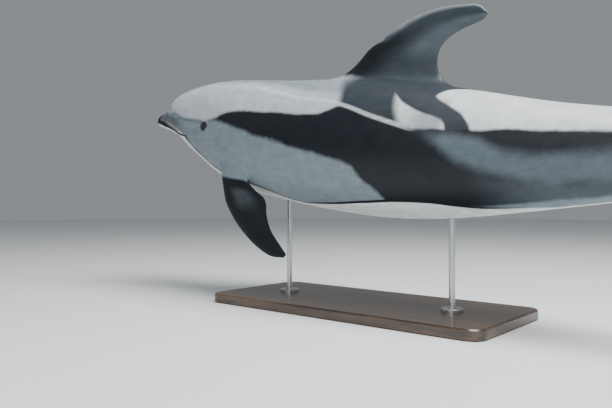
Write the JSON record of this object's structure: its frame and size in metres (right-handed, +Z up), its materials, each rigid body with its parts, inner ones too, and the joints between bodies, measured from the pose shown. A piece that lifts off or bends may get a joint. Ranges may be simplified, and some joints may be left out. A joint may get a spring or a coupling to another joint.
{
  "type": "life-size pacific white-sided dolphin display model",
  "caption": "Still, life-size Pacific white-sided dolphin with a hooked back fin, flippers and flukes, held above a flat base by two short rods.",
  "frame": {"origin": "centre of the underside of the stand's base", "axes": "+Z up; -X is the way the beak points, +X the tail; -Y is the animal's left side, +Y its right"},
  "size_m": [2.237, 0.6477, 0.8825],
  "materials": {
    "skin": "smooth wet-looking skin: slate back, pale grey face, chest and flank patches, white belly, black lips and thin black belly lines",
    "eye": "glossy dark brown eye",
    "stand_wood": "dark stained hardwood, satin lacquer",
    "stand_steel": "brushed stainless steel"
  },
  "bodies": {
    "root": {"head": "skin", "lower_jaw": "skin", "thorax": "skin", "midbody": "skin", "tail_stock": "skin", "dorsal_fin": "skin", "flipper_left": "skin", "flipper_right": "skin", "fluke_left": "skin", "fluke_right": "skin", "eye_left": "eye", "eye_right": "eye", "stand_base": "stand_wood", "stand_flange_front": "stand_steel", "stand_flange_rear": "stand_steel", "stand_rod_front": "stand_steel", "stand_rod_rear": "stand_steel"}
  },
  "joints": []
}
